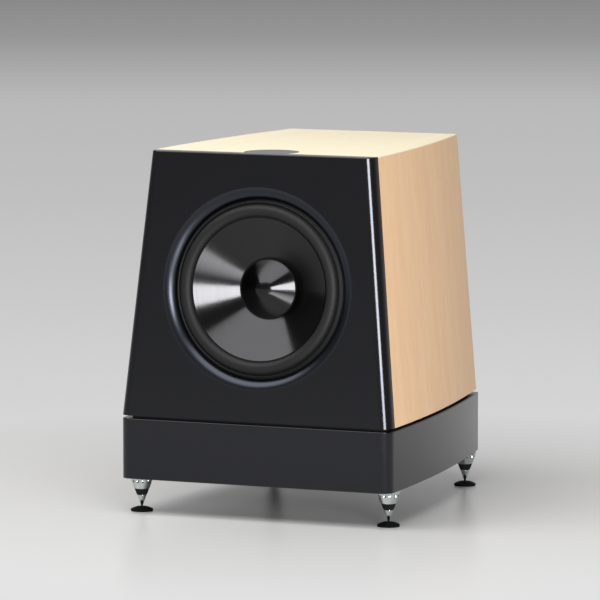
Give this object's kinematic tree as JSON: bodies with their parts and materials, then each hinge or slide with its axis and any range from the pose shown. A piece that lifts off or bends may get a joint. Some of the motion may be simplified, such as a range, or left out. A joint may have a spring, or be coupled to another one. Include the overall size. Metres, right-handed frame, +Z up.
{
  "type": "subwoofer cabinet",
  "caption": "Active hi-fi subwoofer: bowed veneered cabinet with a leaning black baffle and metal-cone woofer, on a black plinth with levelling spike feet and a rear amplifier panel.",
  "frame": {"origin": "on the floor, under the middle of the bounding box", "axes": "+X to the right seen from the front, -Y out of the front, +Z up"},
  "size_m": [0.401, 0.4636, 0.504],
  "materials": {
    "veneer": "satin clear lacquer over pale straight-grained veneer",
    "board": "raw fibreboard",
    "black_lacquer": "black satin-gloss lacquer on fibreboard",
    "black_paint": "black matt paint on fibreboard",
    "spun_metal": "spun and dark anodised, fine turning marks",
    "cast_metal": "cast, black powder coat",
    "rubber": "smooth moulded rubber",
    "foam": "closed-cell gasket",
    "motor_steel": "zinc plated",
    "ferrite": "ground ferrite",
    "spider_cloth": "resin-dipped corrugated cloth",
    "former": "thin rolled sheet",
    "copper": "enamelled copper wire",
    "terminal": "tinned tabs on a moulded block",
    "amp_plate": "black anodised",
    "steel_box": "folded zinc-coated sheet",
    "circuit": "glass-fibre circuit board",
    "parts_black": "moulded and sleeved components",
    "windings": "taped toroidal winding",
    "hardware": "blackened steel",
    "gold": "gold flash",
    "black_plastic": "moulded black plastic",
    "knob": "black, with a pointer groove",
    "cable": "twin cable jacket",
    "brass": "machined",
    "chrome": "turned and chromed",
    "black_metal": "black, satin"
  },
  "bodies": {
    "cabinet": {"plinth": "black_lacquer", "gap_spacer": "black_paint", "hold_down_bolts": "hardware", "bottom_panel": "board", "side_panel_left": "board", "side_panel_right": "board", "top_panel": "board", "rear_panel": "black_paint", "sub_baffle": "board", "ring_brace": "board", "front_baffle": "black_lacquer", "veneer_left": "veneer", "veneer_right": "veneer", "veneer_top": "veneer", "top_inlay": "black_lacquer", "basket": "cast_metal", "driver_gasket": "foam", "driver_screws": "hardware", "driver_terminals": "terminal", "top_plate": "motor_steel", "magnet": "ferrite", "yoke": "motor_steel", "surround": "rubber", "seal_ring": "foam", "spider": "spider_cloth", "amp_panel": "amp_plate", "heat_sink": "amp_plate", "amp_box": "steel_box", "amp_board": "circuit", "board_pillars": "brass", "board_parts": "parts_black", "transformer": "windings", "transformer_clamp": "motor_steel", "line_sockets": "gold", "mains_inlet": "black_plastic", "inlet_pins": "motor_steel", "switch_frame": "black_plastic", "amp_panel_screws": "hardware", "speaker_lead": "cable", "foot_inserts": "brass"},
    "cone_unit": {"cone": "spun_metal", "dust_cap": "spun_metal", "coil_former": "former", "voice_coil": "copper"},
    "level_control": {"level_knob": "knob"},
    "crossover_control": {"crossover_knob": "knob"},
    "phase_control": {"phase_knob": "knob"},
    "power_rocker": {"rocker": "black_plastic"},
    "floor_disc_fl": {"disc_fl": "black_metal"},
    "spike_foot_fl": {"foot_fl": "chrome", "band_fl": "rubber"},
    "floor_disc_fr": {"disc_fr": "black_metal"},
    "spike_foot_fr": {"foot_fr": "chrome", "band_fr": "rubber"},
    "floor_disc_rl": {"disc_rl": "black_metal"},
    "spike_foot_rl": {"foot_rl": "chrome", "band_rl": "rubber"},
    "floor_disc_rr": {"disc_rr": "black_metal"},
    "spike_foot_rr": {"foot_rr": "chrome", "band_rr": "rubber"}
  },
  "joints": [
    {"name": "cone_travel", "type": "slide", "parent": "cabinet", "child": "cone_unit", "axis": [0, -0.9976, 0.0698], "range_m": [-0.01, 0.01], "stiffness_N_per_m": 1500, "deforming": ["surround", "spider"]},
    {"name": "level_turn", "type": "hinge", "parent": "cabinet", "child": "level_control", "pos_m": [0.05206, 0.2162, 0.294], "axis": [0, -1, 0], "range_deg": [-150, 150]},
    {"name": "crossover_turn", "type": "hinge", "parent": "cabinet", "child": "crossover_control", "pos_m": [0, 0.2162, 0.294], "axis": [0, -1, 0], "range_deg": [-150, 150]},
    {"name": "phase_turn", "type": "hinge", "parent": "cabinet", "child": "phase_control", "pos_m": [-0.05206, 0.2162, 0.294], "axis": [0, -1, 0], "range_deg": [-150, 150]},
    {"name": "power_rock", "type": "hinge", "parent": "cabinet", "child": "power_rocker", "pos_m": [-0.008, 0.2138, 0.224], "axis": [-1, 0, 0], "range_deg": [0, 16]},
    {"name": "foot_fl_drop", "type": "slide", "parent": "cabinet", "child": "floor_disc_fl", "axis": [0, 0, -1], "range_m": [0, 0.01002]},
    {"name": "foot_fl_turn", "type": "hinge", "parent": "floor_disc_fl", "child": "spike_foot_fl", "pos_m": [-0.184, -0.1933, 0.05], "axis": [0, 0, -1], "range_deg": [0, 2880]},
    {"name": "foot_fr_drop", "type": "slide", "parent": "cabinet", "child": "floor_disc_fr", "axis": [0, 0, -1], "range_m": [0, 0.01002]},
    {"name": "foot_fr_turn", "type": "hinge", "parent": "floor_disc_fr", "child": "spike_foot_fr", "pos_m": [0.184, -0.1933, 0.05], "axis": [0, 0, -1], "range_deg": [0, 2880]},
    {"name": "foot_rl_drop", "type": "slide", "parent": "cabinet", "child": "floor_disc_rl", "axis": [0, 0, -1], "range_m": [0, 0.01002]},
    {"name": "foot_rl_turn", "type": "hinge", "parent": "floor_disc_rl", "child": "spike_foot_rl", "pos_m": [-0.14847, 0.1997, 0.05], "axis": [0, 0, -1], "range_deg": [0, 2880]},
    {"name": "foot_rr_drop", "type": "slide", "parent": "cabinet", "child": "floor_disc_rr", "axis": [0, 0, -1], "range_m": [0, 0.01002]},
    {"name": "foot_rr_turn", "type": "hinge", "parent": "floor_disc_rr", "child": "spike_foot_rr", "pos_m": [0.14847, 0.1997, 0.05], "axis": [0, 0, -1], "range_deg": [0, 2880]}
  ],
  "couplings": [
    {"joint": "foot_fl_drop", "follows": "foot_fl_turn", "m_per_rad": 0.00019894},
    {"joint": "foot_fr_drop", "follows": "foot_fr_turn", "m_per_rad": 0.00019894},
    {"joint": "foot_rl_drop", "follows": "foot_rl_turn", "m_per_rad": 0.00019894},
    {"joint": "foot_rr_drop", "follows": "foot_rr_turn", "m_per_rad": 0.00019894}
  ]
}
